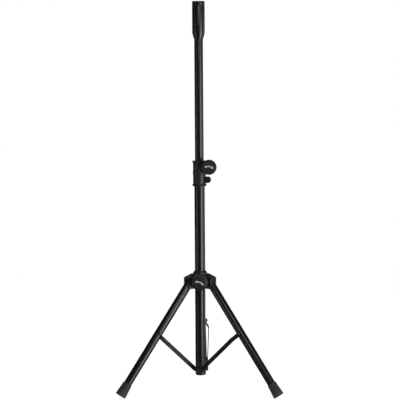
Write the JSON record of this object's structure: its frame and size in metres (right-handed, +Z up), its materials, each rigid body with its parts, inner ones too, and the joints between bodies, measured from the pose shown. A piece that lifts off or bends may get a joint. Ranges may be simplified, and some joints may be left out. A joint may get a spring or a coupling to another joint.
{
  "type": "folding tripod speaker stand",
  "caption": "Folding tripod stand with a telescoping clamped mast, a sliding hub that spreads the legs, flat braces and rubber feet; the top sleeve takes a pole-socket speaker.",
  "frame": {"origin": "on the floor, under the middle of the bounding box of the stand as stored; the column axis stands 61.45 mm in front of it, towards -Y", "axes": "+Z up along the column, +Y towards the back leg, +X to the right as seen from the knobs; metres"},
  "size_m": [0.459, 0.4016, 1.0833],
  "materials": {
    "black_paint": "satin black powder coat",
    "black_steel": "black zinc-plated steel fasteners",
    "black_plastic": "fine-grained moulded black plastic",
    "black_rubber": "matt black rubber",
    "label_grey": "dark grey textured label disc",
    "brass": "threaded brass insert"
  },
  "bodies": {
    "column": {"lower_tube": "black_paint", "bottom_fitting": "black_plastic", "fitting_rivet": "black_steel", "clamp_housing": "black_plastic", "clamp_bolt": "black_steel", "clamp_washer": "black_steel", "lower_clamp_bolt": "black_steel", "lower_clamp_nut": "black_steel", "brace_pin_back": "black_steel", "brace_pin_left": "black_steel", "brace_pin_right": "black_steel"},
    "mast": {"upper_tube": "black_paint", "top_adapter": "black_paint", "top_cap": "black_plastic", "mast_guide": "black_plastic"},
    "mast_clamp_knob": {"clamp_knob": "black_plastic", "clamp_knob_insert": "brass", "clamp_knob_cap": "label_grey"},
    "hub": {"hub_body": "black_plastic", "hub_insert": "brass", "hub_pad": "black_plastic", "leg_bolt_back": "black_steel", "leg_bolt_left": "black_steel", "leg_bolt_right": "black_steel", "leg_nut_back": "black_steel", "leg_nut_left": "black_steel", "leg_nut_right": "black_steel"},
    "hub_clamp_knob": {"hub_knob": "black_plastic", "hub_knob_stud": "black_steel", "hub_knob_cap": "label_grey"},
    "leg_back": {"leg_tube_back": "black_paint", "leg_plug_back": "black_plastic", "foot_back": "black_rubber", "leg_rivet_back": "black_steel"},
    "leg_left": {"leg_tube_left": "black_paint", "leg_plug_left": "black_plastic", "foot_left": "black_rubber", "leg_rivet_left": "black_steel"},
    "leg_right": {"leg_tube_right": "black_paint", "leg_plug_right": "black_plastic", "foot_right": "black_rubber", "leg_rivet_right": "black_steel"},
    "brace_arm_back": {"brace_back": "black_paint", "brace_rivet_back": "black_steel"},
    "brace_arm_left": {"brace_left": "black_paint", "brace_rivet_left": "black_steel"},
    "brace_arm_right": {"brace_right": "black_paint", "brace_rivet_right": "black_steel"}
  },
  "joints": [
    {"name": "mast_slide", "type": "slide", "parent": "column", "child": "mast", "axis": [0, 0, 1], "range_m": [-0.33, 0.06]},
    {"name": "clamp_knob_turn", "type": "hinge", "parent": "column", "child": "mast_clamp_knob", "pos_m": [0.0274, -0.06145, 0.6278], "axis": [0, -1, 0], "range_deg": [0, 180]},
    {"name": "hub_slide", "type": "slide", "parent": "column", "child": "hub", "axis": [0, 0, 1], "range_m": [0, 0.08435]},
    {"name": "hub_knob_turn", "type": "hinge", "parent": "hub", "child": "hub_clamp_knob", "pos_m": [0, -0.06145, 0.3081], "axis": [0, -1, 0], "range_deg": [0, 180]},
    {"name": "leg_fold_back", "type": "hinge", "parent": "hub", "child": "leg_back", "pos_m": [0, -0.03135, 0.3091], "axis": [-1, 0, 0], "range_deg": [0, 37]},
    {"name": "brace_turn_back", "type": "hinge", "parent": "column", "child": "brace_arm_back", "pos_m": [0, -0.05145, 0.055], "axis": [-1, 0, 0], "range_deg": [-40.5, 0]},
    {"name": "leg_fold_left", "type": "hinge", "parent": "hub", "child": "leg_left", "pos_m": [-0.02607, -0.0765, 0.3091], "axis": [0.5, -0.866, 0], "range_deg": [0, 37]},
    {"name": "brace_turn_left", "type": "hinge", "parent": "column", "child": "brace_arm_left", "pos_m": [-0.00866, -0.06645, 0.055], "axis": [0.5, -0.866, 0], "range_deg": [-40.5, 0]},
    {"name": "leg_fold_right", "type": "hinge", "parent": "hub", "child": "leg_right", "pos_m": [0.02607, -0.0765, 0.3091], "axis": [0.5, 0.866, 0], "range_deg": [0, 37]},
    {"name": "brace_turn_right", "type": "hinge", "parent": "column", "child": "brace_arm_right", "pos_m": [0.00866, -0.06645, 0.055], "axis": [0.5, 0.866, 0], "range_deg": [-40.5, 0]}
  ],
  "couplings": [
    {"joint": "leg_fold_back", "follows": "hub_slide", "rad_per_m": 7.4978},
    {"joint": "brace_turn_back", "follows": "hub_slide", "rad_per_m": -8.1997},
    {"joint": "leg_fold_left", "follows": "hub_slide", "rad_per_m": 7.4978},
    {"joint": "brace_turn_left", "follows": "hub_slide", "rad_per_m": -8.1997},
    {"joint": "leg_fold_right", "follows": "hub_slide", "rad_per_m": 7.4978},
    {"joint": "brace_turn_right", "follows": "hub_slide", "rad_per_m": -8.1997}
  ]
}
